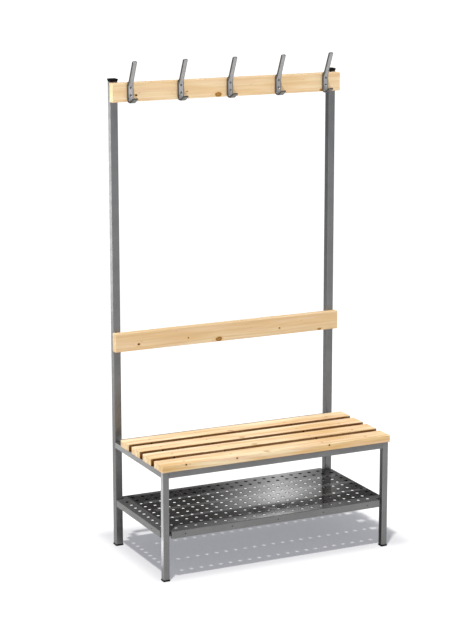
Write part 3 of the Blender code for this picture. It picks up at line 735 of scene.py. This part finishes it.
def make_shelf():
    low, high = box_mm("shoe_shelf")
    half_x, half_y = (high.x - low.x) / 2, (high.y - low.y) / 2
    bm = bmesh.new()
    edge_layer(bm)
    bm.verts.layers.float.new("inside")
    layer, inside = (bm.verts.layers.float[key] for key in ("edge", "inside"))

    # From the sheet's underside, down inside the skirt, round the return flange and up outside it to the top.
    turns = 6
    quarter = [math.pi / 2 * k / turns for k in range(turns + 1)]
    few = [math.pi / 2 * k / 3 for k in range(4)]
    tight = BEND - SHEET
    levels = [(-SHEET, BEND + 4.0, 0.0)]
    levels += [(-BEND + tight * math.sin(t), BEND - tight * math.cos(t), 0.0) for t in reversed(few)]
    levels += [(-BEND - 4.0, SHEET, 0.0), (-SKIRT + BEND + 3.0, SHEET, 0.0)]
    levels += [(-SKIRT + BEND - tight * math.sin(t), BEND - tight * math.cos(t), 0.0) for t in few]
    within = len(levels)
    levels += [(-SKIRT + SHEET, RETURN - 0.35, 0.3), (-SKIRT + SHEET - 0.35, RETURN, 0.8), (-SKIRT + 0.35, RETURN, 0.8), (-SKIRT, RETURN - 0.35, 0.3), (-SKIRT, BEND + 3.0, 0.0)]
    levels += [(-SKIRT + BEND - BEND * math.sin(t), BEND - BEND * math.cos(t), 0.3 + 0.7 * math.sin(2 * t)) for t in reversed(quarter)]
    levels += [(-SKIRT + BEND + 3.0, 0.0, 0.0), (-BEND - 4.0, 0.0, 0.0)]
    levels += [(-BEND + BEND * math.sin(t), BEND * (1 - math.cos(t)), 0.3 + 0.7 * math.sin(2 * t)) for t in quarter]
    levels.append((0.0, BEND + 4.0, 0.0))

    rows = []
    # Painted shade: the inside mark darkens the sheet's underside a little and the inside of the skirt fully.
    for step, (z, inset, edge) in enumerate(levels):
        row = []
        for x, y, e in shelf_plan(half_x, half_y, inset):
            vert = bm.verts.new((x, y, z))
            vert[layer] = max(edge, e if inset < 2.0 else 0.0)
            vert[inside] = 0.3 if step == 0 else 1.0 if step <= within else 0.0
            row.append(vert)
        rows.append(row)
    for one, two in zip(rows, rows[1:]):
        for k in range(len(one)):
            n = (k + 1) % len(one)
            bm.faces.new((one[k], one[n], two[n], two[k]))

    plan = [Vector((x, y)) for x, y, _ in shelf_plan(half_x, half_y, BEND + 4.0)]
    loops = [list(range(len(plan)))]
    centres = []
    for r in range(HOLE_ROWS):
        for c in range(HOLE_COLUMNS):
            if r in (0, HOLE_ROWS - 1) and c in (0, HOLE_COLUMNS - 1):
                continue
            centres.append(Vector(((c - (HOLE_COLUMNS - 1) / 2) * HOLE_PITCH, (r - (HOLE_ROWS - 1) / 2) * HOLE_PITCH)))
    for centre in centres:
        start = len(plan)
        plan += [centre + Vector((x, y)) for x, y, _ in turn_points(HOLE_RADIUS + 2.2, HOLE_SIDES)]
        loops.append(list(range(start, len(plan))))
    edges = [(loop[k], loop[(k + 1) % len(loop)]) for loop in loops for k in range(len(loop))]
    points, _, faces, _, _, _ = delaunay_2d_cdt(plan, edges, [], 1, 1e-6)
    assert len(points) == len(plan)
    owner = {i: n for n, loop in enumerate(loops) for i in loop}

    def in_hole(face):
        owners = {owner[i] for i in face}
        return len(owners) == 1 and 0 not in owners

    upper, lower = list(rows[-1]), list(rows[0])
    rims = []
    for centre in centres:
        rings = []
        # Painted shade round each hole: the rim and the hole's wall are marked dark, and the ring under the sheet a
        # little.
        for radius, z, hole_shade in ((HOLE_RADIUS + 2.2, 0.0, 0.0), (HOLE_RADIUS + 1.5, 0.0, 0.8), (HOLE_RADIUS + 0.4, 0.0, 0.9), (HOLE_RADIUS + 0.12, -0.12, 0.9), (HOLE_RADIUS, -0.4, 0.95), (HOLE_RADIUS, -SHEET, 1.0), (HOLE_RADIUS + 0.9, -SHEET, 0.3)):
            ring = []
            for x, y, _ in turn_points(radius, HOLE_SIDES):
                vert = bm.verts.new((centre.x + x, centre.y + y, z))
                vert[inside] = hole_shade
                ring.append(vert)
            rings.append(ring)
        rims.append(rings)
        upper += rings[0]
        lower += rings[-1]
    for face in faces:
        if in_hole(face):
            continue
        bm.faces.new([upper[i] for i in face])
        bm.faces.new([lower[i] for i in reversed(face)])
    for rings in rims:
        for one, two in zip(rings, rings[1:]):
            for k in range(HOLE_SIDES):
                n = (k + 1) % HOLE_SIDES
                bm.faces.new((one[k], one[n], two[n], two[k]))

    centre = Vector(((low.x + high.x) / 2, (low.y + high.y) / 2, high.z))
    obj = piece("shoe_shelf_sheet", bm, SHEET_STEEL, centre * MM, angle=50.0)

    # The skirt's small holes stop at a thin film at their inner ends, marked with painted shade so that the holes read
    # dark.
    holes = bmesh.new()
    stop_x, stop_y = half_x - SHEET + 0.2, half_y - SHEET + 0.2
    for s in (-1, 1):
        for k in (-2, -1, 0, 1, 2):
            turned(holes, "Y", [(s * stop_y, 2.5, 0), (s * (half_y + 4), 2.5, 0)], 20, (k * 201.0, -14.5))
        for k in (-1, 0, 1):
            turned(holes, "X", [(s * stop_x, 2.5, 0), (s * (half_x + 4), 2.5, 0)], 20, (k * 140.0, -14.5))
    for row, way in (("rear", 1), ("front", -1)):
        for side in ("left", "right"):
            c = middle(f"shelf_bolt_{row}_{side}") / MM - centre
            y = way * (half_y - NOTCH)
            turned(holes, "Y", [(y - 4, 4.4, 0), (y + 4, 4.4, 0)], 24, (c.x, c.z))
    carve(obj, holes, 50.0)
    shade_film = obj.data.attributes["inside"].data
    for vert in obj.data.vertices:
        x, y, z = (c / MM for c in vert.co)
        if abs(z + 14.5) < 2.6 and (abs(abs(y) - stop_y) < 0.02 or abs(abs(x) - stop_x) < 0.02):
            shade_film[vert.index].value = 1.0
    return stands_for(obj, "shelf", "shoe_shelf")


# ---------------------------------------------------------------- hooks

HOOK_FACE = 12.3  # front of the plate, ahead of the board
HOOK_BACK = 0.3
HOOK_ARM = 107.8


def hook_stations():
    """From the upper tip to the lower tip: inner point, outer point (forward, height), half width, corner."""
    lean = math.radians(25.2)
    way = Vector((math.sin(lean), math.cos(lean)))
    out = Vector((way.y, -way.x))
    start = Vector((HOOK_FACE + 0.7, 65.5))

    def arm(s, thick, half, depth=8.6):
        mid = start + way * s - out * depth / 2
        return mid + out * thick / 2, mid - out * thick / 2, half

    stations = []
    for degrees in (88, 76, 62, 46, 30, 14, 0):
        a = math.radians(degrees)
        round_off = 5.0 * (1 - math.cos(a))
        stations.append(arm(HOOK_ARM - 5.0 + 5.0 * math.sin(a), 8.5 - 0.84 * round_off, 10.0 - round_off * 0.95))
    stations += [arm(88.0, 8.6, 10.0), arm(60.0, 8.6, 10.05), arm(36.0, 8.7, 10.1), arm(24.0, 8.8, 10.2), arm(17.0, 9.4, 10.5)]
    stations += [
        (start + way * 10.0, Vector((4.6, 81.0)), 11.1),
        (start + way * 5.0, Vector((2.2, 78.0)), 11.6),
        (Vector((HOOK_FACE + 0.45, 66.0)), Vector((0.7, 74.6)), 11.9),
        (Vector((HOOK_FACE + 0.1, 61.0)), Vector((HOOK_BACK, 68.0)), 12.0),
        (Vector((HOOK_FACE, 50.0)), Vector((HOOK_BACK, 52.0)), 12.0),
        (Vector((HOOK_FACE, 34.0)), Vector((HOOK_BACK, 34.0)), 12.0),
        (Vector((HOOK_FACE, 24.0)), Vector((HOOK_BACK, 23.0)), 12.0),
    ]
    for k in range(1, 8):
        a = math.pi / 2 * k / 8
        inner = Vector((HOOK_FACE + 8.4 * (1 - math.cos(a)), 20.0 - 12.4 * math.sin(a)))
        outer = Vector((HOOK_BACK + 14.0 * (1 - math.cos(a)), 18.0 - 17.2 * math.sin(a)))
        stations.append((inner, outer, 12.0 - 0.9 * k / 8))
    stations.append((Vector((22.5, 7.5)), Vector((17.0, 0.8)), 11.0))
    stations.append((Vector((26.0, 7.5)), Vector((25.0, 0.8)), 11.0))
    foot, end = Vector((30.0, 4.2)), Vector((59.0, 21.3))
    lip = (end - foot).normalized()
    up = Vector((-lip.y, lip.x))

    def blade(back, thick, half):
        mid = end - lip * back
        return mid + up * thick / 2, mid - up * thick / 2, half

    length = (end - foot).length
    stations.append(blade(length - 2.0, 6.6, 10.95))
    stations.append(blade(length - 8.0, 6.3, 10.9))
    stations.append(blade(12.0, 6.1, 10.7))
    for degrees in (0, 20, 40, 58, 74, 88):
        a = math.radians(degrees)
        round_off = 3.4 * (1 - math.cos(a))
        stations.append(blade(3.4 - 3.4 * math.sin(a), 6.0 - 1.0 * round_off, 10.5 - 0.95 * round_off))
    return stations


def smoothed(stations, rounds):
    """Cuts the corners of the run of stations, keeping both ends."""
    for _ in range(rounds):
        cut = [stations[0]]
        for one, two in zip(stations, stations[1:]):
            for t in (0.25, 0.75):
                cut.append(tuple(a + (b - a) * t for a, b in zip(one, two)))
        cut.append(stations[-1])
        stations = cut
    return stations


def make_hooks():
    rings = []
    for inner, outer, half in smoothed(hook_stations(), 1):
        thick = (inner - outer).length
        side = (inner - outer) / thick
        mid = (inner + outer) / 2
        profile = soft_rect(2 * half, thick, min(3.6, thick * 0.42, half * 0.45), 6, min(2.4, half * 0.24))
        arm = inner.y > 72
        foot = inner.y < 24
        ring = []
        for p, q, e in profile:
            # The arm's show face is slightly crowned; flanks and the foot's underside are marked for painted shade
            # through the edge mark.
            fall = 0.9 * (p / half) ** 2 if arm and q > 0 else 0.0
            if abs(p) > half - 0.3:
                e = max(e, 0.75)
            if foot and q < 0:
                e = max(e, 0.62)
            ring.append((p, -(mid.x + side.x * (q - fall)), mid.y + side.y * (q - fall), e))
        rings.append(ring)
    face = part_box("hook_rail")[0].y
    mesh = None
    for k in range(1, 6):
        node = f"coat_hook_{k}"
        at = (middle(node).x, face, 1.804)
        name = node + "_casting"
        if mesh is None:
            obj = piece(name, skin(bmesh.new(), rings), METAL, at, angle=44.0)
            bm = bmesh.new()
            for z in (60.0, 31.0):
                turned(bm, "Y", [(-HOOK_FACE - 2.0, 6.7, 0), (-HOOK_FACE, 4.7, 0), (-HOOK_FACE + 2.45, SHANK_HOLE, 0), (3.0, SHANK_HOLE, 0)], 32, (0.0, z))
            carve(obj, bm, 44.0)
            mesh = obj.data
        else:
            obj = set_down(name, mesh, at)
        stands_for(obj, "hook", node)


# ---------------------------------------------------------------- feet and caps


def moulding(name, node, levels, corner, at):
    """A square moulding from (height, width, edge) levels."""
    rings = []
    for z, width, edge in levels:
        profile = soft_rect(width, width, min(corner, width * 0.3), 5, 1.5)
        rings.append([(p, q, z, max(edge, 0.5 * e)) for p, q, e in profile])
    obj = piece(name, skin(bmesh.new(), rings), PLASTIC, at, angle=40.0)
    return stands_for(obj, "plastic", node)


def ribbed(start, end, width):
    """A push-in plug: thin ribs between its ends, tapered where it enters."""
    levels = []
    way = 1 if end > start else -1
    count = 4
    step = abs(end - start - way * 3.0) / count
    for k in range(count):
        base = start + way * step * k
        levels += [
            (base + way * 0.3, width - 1.4, 0.0),
            (base + way * step * 0.55, width - 1.4, 0.0),
            (base + way * step * 0.70, width, 0.4),
            (base + way * step * 0.95, width, 0.4),
        ]
    levels.append((end, width - 4.0, 0.3))
    return levels


def make_mouldings():
    for row, size in (("front", 25.0), ("rear", 30.0)):
        over = size + 3.0
        inside = size - 2 * WALL - 0.8
        for side in ("left", "right"):
            node = f"foot_{row}_{side}"
            c = middle(node)
            levels = [(0.0, over - 8.0, 0.0), (0.0, over - 3.4, 0.0), (0.25, over - 2.0, 0.5), (0.8, over - 1.0, 1.0), (1.6, over - 0.3, 0.6), (2.8, over, 0.0), (5.0, over, 0.0), (6.0, over - 0.3, 0.6), (6.6, over - 0.9, 1.0), (6.95, over - 1.9, 0.5), (7.0, over - 3.2, 0.0)]
            levels += ribbed(7.0, 29.0, inside)
            moulding(node + "_moulding", node, levels, 2.6, (c.x, c.y, 0.0))
    inside = 30.0 - 2 * WALL - 0.8
    over = 34.0
    for side in ("left", "right"):
        node = f"post_cap_{side}"
        c = middle(node)
        top = box_mm(f"rear_post_{side}")[1].z
        levels = list(reversed(ribbed(0.3, -14.0, inside)))
        levels += [(0.35, 29.4, 0.0), (1.2, 29.8, 0.3), (2.6, 30.2, 0.0), (4.0, 31.4, 0.0), (5.0, 32.8, 0.4), (5.7, 33.7, 0.9), (6.4, over, 0.6), (8.4, over, 0.2), (9.6, over - 0.3, 0.7), (10.5, over - 1.3, 1.0), (11.2, over - 3.2, 0.5), (11.7, over - 7.0, 0.1), (11.95, over - 14.0, 0.0), (12.0, over - 24.0, 0.0)]
        moulding(node + "_moulding", node, levels, 3.0, (c.x, c.y, top * MM))


# ---------------------------------------------------------------- fasteners


def thread(start, end, radius, pitch, tip):
    """A threaded shank from one place along the axis to another, as (place, radius, edge) steps with a point or a chamfer."""
    way = 1 if end > start else -1
    run = abs(end - start) - tip
    count = max(2, int(run / pitch))
    steps = [(start, radius * 0.86, 0.0)]
    for k in range(count):
        base = start + way * run * k / count
        steps += [(base + way * pitch * 0.30, radius * 0.80, 0.0), (base + way * pitch * 0.62, radius, 0.6)]
    steps.append((start + way * run, radius * 0.78, 0.0))
    steps.append((end, 0.35, 0.4))
    return steps


def fastener(name, bm, at, turn=None, stuff=ZINC):
    return piece(name, bm, stuff, at, turn, 35.0)


def make_fasteners():
    # Countersunk screws of the hooks.
    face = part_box("hook_rail")[0].y
    mesh = None
    for k in range(1, 6):
        for label in ("upper", "lower"):
            node = f"hook_screw_{k}_{label}"
            c = middle(node)
            at = (c.x, face, c.z)
            if mesh is None:
                f = -HOOK_FACE + 0.3
                steps = [(f + 0.02, 2.2, 0.0), (f + 0.12, 3.3, 0.2), (f + 0.45, 4.0, 1.0), (f + 0.75, 3.9, 0.3), (f + 2.3, 2.25, 0.0)]
                steps += thread(f + 2.8, 20.5, 2.2, 1.7, 3.5)
                obj = fastener(node + "_screw", turned(bmesh.new(), "Y", steps, 28), at, stuff=DARK_ZINC)
                for long_x in (True, False):
                    carve(obj, cross_arm(f, -1, 1.7, 2.3, long_x), 35.0)
                mesh = obj.data
            else:
                obj = set_down(node + "_screw", mesh, at)
            stands_for(obj, "fastener", node)

    # Pan-head screws behind the posts and under the side rails.
    def pan(reach):
        f = 2.9
        steps = [(f - 0.02, 1.4, 0.0), (f - 0.12, 2.6, 0.2), (f - 0.55, 3.7, 0.5), (f - 1.15, 4.45, 0.8), (f - 1.8, 4.75, 0.8), (f - 2.5, 4.8, 0.6), (0.32, 4.6, 0.3), (0.3, 2.4, 0.0)]
        return steps + thread(-0.2, -reach, 2.2, 1.7, 3.5)

    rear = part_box("rear_post_left")[1].y
    mesh = None
    for row in ("back", "hook"):
        for side in ("left", "right"):
            for label in ("lower", "upper"):
                node = f"{row}_rail_screw_{side}_{label}"
                c = middle(node)
                at = (c.x, rear, c.z)
                if mesh is None:
                    obj = fastener(node + "_screw", turned(bmesh.new(), "Y", pan(50.5), 28), at)
                    for long_x in (True, False):
                        carve(obj, cross_arm(2.9, 1, 1.6, 2.3, long_x), 35.0)
                    mesh = obj.data
                else:
                    obj = set_down(node + "_screw", mesh, at)
                stands_for(obj, "fastener", node)
    mesh = None
    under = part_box("seat_rail_left")[0].z
    for side in ("left", "right"):
        for k in range(1, 5):
            node = f"slat_screw_{side}_{k}"
            c = middle(node)
            at = (c.x, c.y, under)
            if mesh is None:
                obj = fastener(node + "_screw", turned(bmesh.new(), "Y", pan(43.5), 28), at, (-math.pi / 2, 0.0, 0.0))
                for long_x in (True, False):
                    carve(obj, cross_arm(2.9, 1, 1.6, 2.3, long_x), 35.0)
                mesh = obj.data
            else:
                obj = set_down(node + "_screw", mesh, at, (-math.pi / 2, 0.0, 0.0))
            stands_for(obj, "fastener", node)

    # Shoulder bolts of the shelf, with a hexagon socket in the head.
    for row, way in (("rear", -1), ("front", 1)):
        mesh = None
        for side in ("left", "right"):
            node = f"shelf_bolt_{row}_{side}"
            low, high = box_mm(node)
            c = middle(node)
            # the head is the end that lies further inside the shelf
            face = low.y if row == "rear" else high.y
            w = -1 if row == "rear" else 1
            far = high.y if row == "rear" else low.y
            at = (c.x, face * MM, c.z)
            reach = abs(far - face)
            neck = 12.0 + 0.3
            steps = [(0.0, 4.6, 0.0), (-w * 0.1, 5.7, 0.4), (-w * 0.5, 6.3, 1.0), (-w * 1.0, 6.5, 0.4), (-w * 3.2, 6.5, 0.3), (-w * 3.55, 6.2, 0.8), (-w * 3.6, 5.4, 0.0), (-w * 3.62, 4.0, 0.0), (-w * (reach - neck), 4.0, 0.5), (-w * (reach - neck + 0.02), 2.4, 0.0)]
            steps += thread(-w * (reach - neck + 0.5), -w * reach, 2.5, 0.9, 0.8)[:-1] + [(-w * reach, 2.0, 0.4)]
            if mesh is None:
                obj = fastener(node + "_bolt", turned(bmesh.new(), "Y", steps, 30), at)
                tool = turned(bmesh.new(), "Y", [(w * 1.0, 2.9, 0), (-w * 2.4, 2.9, 0)], 6)
                carve(obj, tool, 35.0)
                mesh = obj.data
            else:
                obj = set_down(node + "_bolt", mesh, at)
            stands_for(obj, "fastener", node)


def cross_arm(face, way, depth, arm, long_x):
    """One tapered arm of a cross recess, square to Y; way is the outward direction."""
    bm = bmesh.new()
    rings = []
    for y, grow in ((face + way * 0.6, 1.08), (face - way * depth, 0.45)):
        a, b = (arm * grow, 0.62 * grow) if long_x else (0.62 * grow, arm * grow)
        rings.append([(x, y, z, 0.0) for x, z in ((-a, -b), (a, -b), (a, b), (-a, b))])
    return skin(bm, rings)


# ---------------------------------------------------------------- stage, light and camera

# The floor's glow to the eye: close round the bench, where it is a painted shadow, and far from it.
FLOOR_LIFT = (0.310, 0.66)
SUN_WAY = (0.25, 0.285, -1.0)
SUN_ENERGY = 3.20
SUN_ENERGY_FLOOR = 2.95

# Soft parts of the studio's surround: direction, angle where each starts to fade in, angle where it is full, strength.
SURROUND = {
    "front": ((0.0, -1.0, 0.05), 60.0, 15.0, 0.70),
    "over": ((0.0, 0.0, 1.0), 70.0, 15.0, 0.16),
    "ground": ((0.0, 0.0, -1.0), 90.0, 80.0, 0.42),
}
SURROUND_BASE = 0.10

# Soft boxes: middle, what they face, width, height, shape, power, and the parts of the bench they are shaded for.
BOXES = {
    "left_back": ((-1.40, 2.24, 1.09), (-0.49, 0.24, 1.40), 0.95, 1.17, "RECTANGLE", 10.0, "left_post"),
    "left_under": ((-1.40, 2.24, 0.25), (-0.49, 0.24, 0.70), 0.95, 0.48, "RECTANGLE", 0.98, "left_post"),
    "left_low": ((-1.00, 0.90, 0.30), (-0.49, 0.05, 0.38), 0.44, 0.44, "RECTANGLE", 0.85, "left_rail"),
    "leg_low": ((-0.626, 0.030, 0.190), (-0.495, -0.240, 0.190), 0.20, 0.36, "RECTANGLE", 0.42, "left_leg"),
    "leg_foot": ((-0.560, -0.105, 0.060), (-0.495, -0.240, 0.070), 0.14, 0.10, "RECTANGLE", 0.062, "left_leg"),
    "leg_front": ((0.52, -1.33, 0.14), (0.00, -0.25, 0.24), 1.80, 0.26, "RECTANGLE", 0.40, "legs"),
    "left_ends": ((-2.60, 0.10, 1.10), (-0.50, 0.10, 0.90), 0.90, 1.60, "RECTANGLE", 21.0, "wood"),
    "hook_end": ((-2.30, 0.10, 1.56), (-0.50, 0.20, 1.81), 0.50, 0.50, "RECTANGLE", 22.0, "hook_rail"),
    "hook_front": ((0.30, -3.00, 2.60), (0.00, 0.20, 1.85), 1.20, 1.20, "RECTANGLE", 13.0, "hook_rail"),
    "hook_shine": ((-0.20, -1.00, 1.80), (-0.42, 0.18, 1.85), 0.90, 0.60, "RECTANGLE", 0.80, "hooks"),
    "seat_sheen": ((1.10, 2.20, 1.16), (0.00, 0.00, 0.467), 2.40, 1.00, "RECTANGLE", 10.0, "slats"),
    "shelf_glow": ((0.280, 0.300, 0.3065), (0.280, -0.100, 0.3065), 0.80, 0.207, "RECTANGLE", 0.84, "shelf"),
}


# Brightness up the card behind the shelf, in parts of its height, and how fast it fades to both sides.
GLOW_RISE = ((0.0, 0.66), (0.227, 0.76), (0.42, 1.04), (0.56, 1.26), (0.625, 1.26), (0.675, 0.0), (0.87, 0.0), (0.925, 1.30))
GLOW_FADE = 1.7


def grade(light):
    """Fades a soft box sideways and in bands up its height."""
    light.use_nodes = True
    tree = light.node_tree
    emission = next(n for n in tree.nodes if n.bl_idname == "ShaderNodeEmission")
    where = tree.nodes.new("ShaderNodeNewGeometry").outputs["Parametric"]
    axes = tree.nodes.new("ShaderNodeSeparateXYZ")
    tree.links.new(where, axes.inputs[0])
    off = tree.nodes.new("ShaderNodeMath")
    off.operation = "SUBTRACT"
    tree.links.new(axes.outputs["X"], off.inputs[0])
    off.inputs[1].default_value = 0.5
    size = tree.nodes.new("ShaderNodeMath")
    size.operation = "ABSOLUTE"
    tree.links.new(off.outputs[0], size.inputs[0])
    near = tree.nodes.new("ShaderNodeMapRange")
    tree.links.new(size.outputs[0], near.inputs["Value"])
    near.inputs["From Min"].default_value, near.inputs["From Max"].default_value = 0.5, 0.0
    fade = tree.nodes.new("ShaderNodeMath")
    fade.operation = "POWER"
    tree.links.new(near.outputs[0], fade.inputs[0])
    fade.inputs[1].default_value = GLOW_FADE
    rise = tree.nodes.new("ShaderNodeValToRGB")
    tree.links.new(axes.outputs["Y"], rise.inputs["Fac"])
    ramp = rise.color_ramp
    while len(ramp.elements) < len(GLOW_RISE):
        ramp.elements.new(1.0)
    for element, (place, level) in zip(ramp.elements, GLOW_RISE):
        element.position = place
        element.color = (level, level, level, 1.0)
    both = tree.nodes.new("ShaderNodeMath")
    both.operation = "MULTIPLY"
    tree.links.new(fade.outputs[0], both.inputs[0])
    tree.links.new(rise.outputs["Color"], both.inputs[1])
    tree.links.new(both.outputs[0], emission.inputs["Strength"])


def make_stage():
    bm = bmesh.new()
    bmesh.ops.create_circle(bm, cap_ends=True, segments=128, radius=4.0)
    mesh = bpy.data.meshes.new("floor")
    bm.to_mesh(mesh)
    bm.free()
    mesh.materials.append(floor_finish())
    floor = set_down("floor", mesh)

    shown = [obj for obj in bpy.context.scene.objects if obj.type == "MESH" and obj is not floor]
    groups = {
        "bench": shown,
        "floor": [floor],
        "lower": [o for o in shown if o.name.startswith(("seat_", "front_leg", "shoe_shelf", "foot_"))],
        "left_post": [o for o in shown if o.name.startswith("rear_post_left")],
        "left_rail": [o for o in shown if o.name.startswith("seat_rail_left")],
        "left_leg": [o for o in shown if o.name.startswith("front_leg_left")],
        "wood": [o for o in shown if o.name.endswith("_board")],
        "hook_rail": [o for o in shown if o.name.startswith("hook_rail_board")],
        "slats": [o for o in shown if o.name.startswith("seat_slat")],
        "legs": [o for o in shown if o.name.startswith("front_leg")],
        "hooks": [o for o in shown if o.name.startswith("coat_hook")],
        "shelf": [o for o in shown if o.name.startswith("shoe_shelf")],
    }
    made = {}

    def group(name):
        if name not in made:
            made[name] = bpy.data.collections.new("lit_" + name)
            for obj in groups[name]:
                made[name].objects.link(obj)
        return made[name]

    world = bpy.data.worlds.new("studio")
    bpy.context.scene.world = world
    world.use_nodes = True
    tree = world.node_tree
    tree.nodes.clear()
    out = tree.nodes.new("ShaderNodeOutputWorld")
    seen = tree.nodes.new("ShaderNodeBackground")
    seen.inputs["Color"].default_value = (1.0, 1.0, 1.0, 1.0)
    seen.inputs["Strength"].default_value = 1.1
    fill = tree.nodes.new("ShaderNodeBackground")
    fill.inputs["Color"].default_value = (0.97, 0.985, 1.0, 1.0)
    way = tree.nodes.new("ShaderNodeTexCoord").outputs["Generated"]
    total = None
    for name, (axis, fade, full, strength) in SURROUND.items():
        dot = tree.nodes.new("ShaderNodeVectorMath")
        dot.operation = "DOT_PRODUCT"
        tree.links.new(way, dot.inputs[0])
        dot.inputs[1].default_value = Vector(axis).normalized()
        lobe = tree.nodes.new("ShaderNodeMapRange")
        lobe.name = name
        lobe.interpolation_type = "SMOOTHSTEP"
        tree.links.new(dot.outputs["Value"], lobe.inputs["Value"])
        lobe.inputs["From Min"].default_value = math.cos(math.radians(fade))
        lobe.inputs["From Max"].default_value = math.cos(math.radians(full))
        lobe.inputs["To Max"].default_value = strength
        add = tree.nodes.new("ShaderNodeMath")
        add.operation = "ADD"
        tree.links.new(lobe.outputs[0], add.inputs[0])
        if total is None:
            add.name = "base"
            add.inputs[1].default_value = SURROUND_BASE
        else:
            tree.links.new(total, add.inputs[1])
        total = add.outputs[0]
    tree.links.new(total, fill.inputs["Strength"])
    path = tree.nodes.new("ShaderNodeLightPath")
    mix = tree.nodes.new("ShaderNodeMixShader")
    tree.links.new(path.outputs["Is Camera Ray"], mix.inputs[0])
    tree.links.new(fill.outputs[0], mix.inputs[1])
    tree.links.new(seen.outputs[0], mix.inputs[2])
    tree.links.new(mix.outputs[0], out.inputs["Surface"])

    def lamp(name, kind, at, way, energy, receivers, blockers=None, **settings):
        data = bpy.data.lights.new(name, kind)
        data.energy = energy
        for key, value in settings.items():
            setattr(data, key, value)
        obj = bpy.data.objects.new(name, data)
        bpy.context.scene.collection.objects.link(obj)
        obj.location = at
        obj.rotation_euler = Vector(way).to_track_quat("-Z", "Y").to_euler()
        obj.visible_camera = False
        obj.light_linking.receiver_collection = group(receivers)
        if blockers:
            obj.light_linking.blocker_collection = group(blockers)
        return obj

    sun = {"color": (1.0, 0.99, 0.97)}
    lamp("key", "SUN", (-1.5, -1.65, 6.0), SUN_WAY, SUN_ENERGY, "bench", angle=math.radians(1.6), **sun)
    lamp("key_floor", "SUN", (-1.5, -1.65, 6.0), SUN_WAY, SUN_ENERGY_FLOOR, "floor", "lower", angle=math.radians(3.2), **sun)
    for name, (at, towards, wide, high, shape, power, receivers) in BOXES.items():
        box = lamp(name, "AREA", at, Vector(towards) - Vector(at), power, receivers, shape=shape, size=wide, size_y=high)
        if name == "shelf_glow":
            grade(box.data)

    camera = bpy.data.cameras.new("camera")
    camera.sensor_width = 36.0
    camera.sensor_fit = "AUTO"
    camera.lens = 2056.24 * 36.0 / 617.0
    camera.clip_end = 200.0
    obj = bpy.data.objects.new("camera", camera)
    bpy.context.scene.collection.objects.link(obj)
    obj.location = (-3.5311, -7.1478, 2.7292)
    obj.rotation_euler = (math.radians(90.0 - 12.34), 0.0, math.radians(-25.908))
    bpy.context.scene.camera = obj
    bpy.context.scene.view_settings.view_transform = "Standard"


make_boards()
make_tubes()
make_welds()
make_shelf()
make_hooks()
make_mouldings()
make_fasteners()
make_stage()
